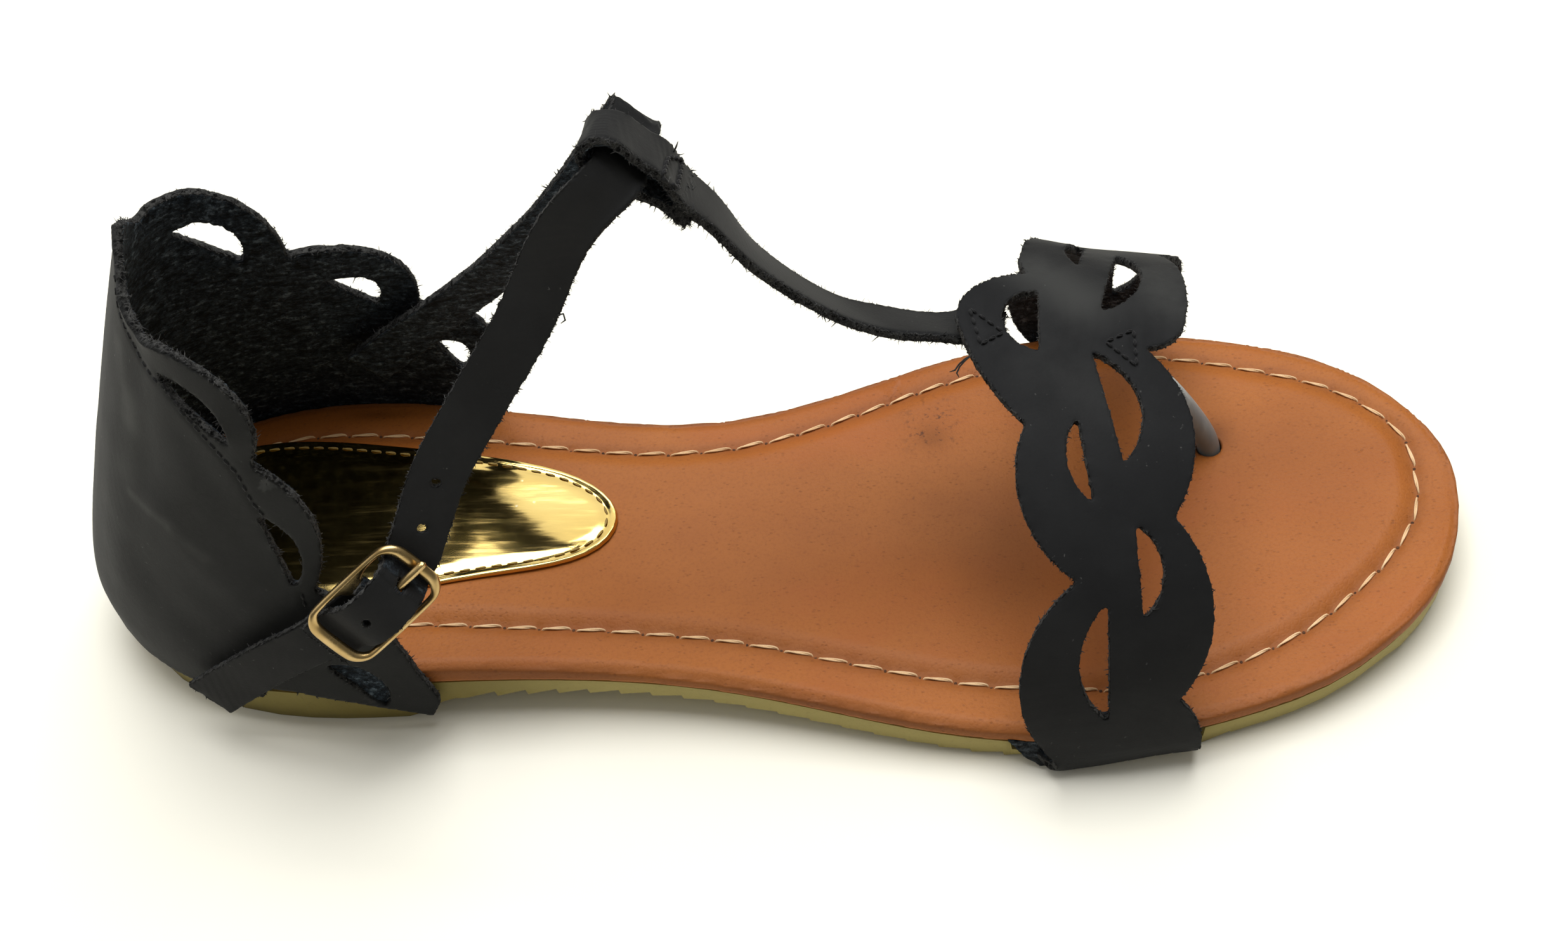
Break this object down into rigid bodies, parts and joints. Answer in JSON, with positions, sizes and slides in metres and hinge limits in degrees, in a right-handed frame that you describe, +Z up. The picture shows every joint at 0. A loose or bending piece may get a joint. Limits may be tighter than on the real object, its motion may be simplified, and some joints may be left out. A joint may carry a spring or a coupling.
{
  "type": "toe post sandal",
  "caption": "Flat sandal for the right foot: footbed on a saw-edged sole, scalloped cut-out heel counter and front strap, toe post, T-strap and buckled ankle strap.",
  "frame": {"origin": "on the floor under the middle of the sandal's box", "axes": "+X from the heel to the toe, +Y to the inner side of the foot, +Z up"},
  "size_m": [0.2498, 0.0992, 0.1108],
  "materials": {
    "outsole": "matt olive rubber with a saw-tooth edge",
    "footbed": "smooth tan leatherette, satin",
    "heel_pad": "mirror gold foil",
    "heel_counter": "soft black nubuck, raw cut edges",
    "front_strap": "soft black nubuck, raw cut edges",
    "t_strap": "soft black nubuck, raw cut edges",
    "ankle_strap": "soft black nubuck, raw cut edges",
    "buckle_tab": "soft black nubuck, raw cut edges",
    "buckle_frame": "polished pale gold",
    "buckle_prong": "polished pale gold",
    "toe_post": "grey tube, slightly clear"
  },
  "bodies": {
    "root": {"outsole": "outsole", "footbed": "footbed", "heel_pad": "heel_pad", "heel_counter": "heel_counter", "front_strap": "front_strap", "t_strap": "t_strap", "ankle_strap": "ankle_strap", "buckle_tab": "buckle_tab", "buckle_frame": "buckle_frame", "buckle_prong": "buckle_prong", "toe_post": "toe_post"}
  },
  "joints": []
}
